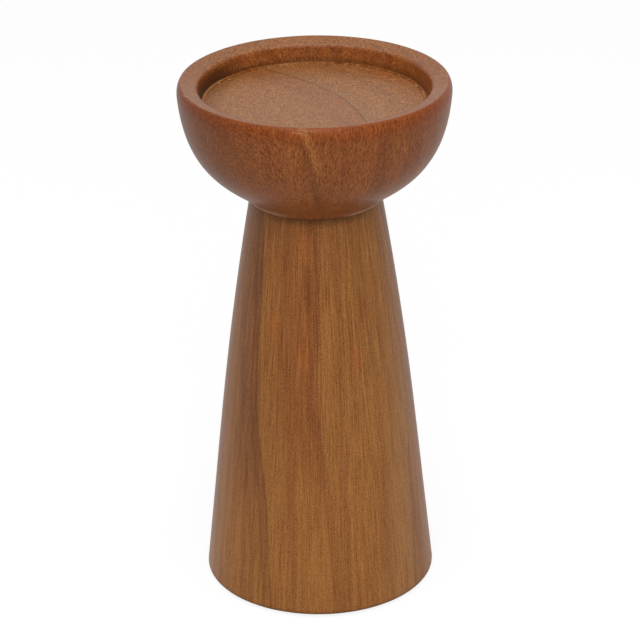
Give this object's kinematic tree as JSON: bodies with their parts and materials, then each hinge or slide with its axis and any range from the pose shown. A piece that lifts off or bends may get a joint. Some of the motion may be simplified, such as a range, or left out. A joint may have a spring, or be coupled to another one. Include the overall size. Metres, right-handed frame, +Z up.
{
  "type": "pillar candle stand",
  "caption": "Turned wooden pillar candle stand: a tapered column on felt pads carries a round bowl with a broad lip and a shallow flat recess for a candle.",
  "frame": {"origin": "centre of the base, on the surface that the felt pads stand on", "axes": "+Z up along the turning axis, +X through the first felt pad"},
  "size_m": [0.102, 0.102, 0.2036],
  "materials": {
    "bowl_wood": "reddish brown hardwood, satin lacquer",
    "column_wood": "golden brown hardwood, satin lacquer",
    "dowel_wood": "pale raw hardwood",
    "felt": "dark brown pressed felt"
  },
  "bodies": {
    "root": {"candle_bowl": "bowl_wood", "tapered_column": "column_wood", "joining_dowel": "dowel_wood", "felt_pad_1": "felt", "felt_pad_2": "felt", "felt_pad_3": "felt", "felt_pad_4": "felt"}
  },
  "joints": []
}
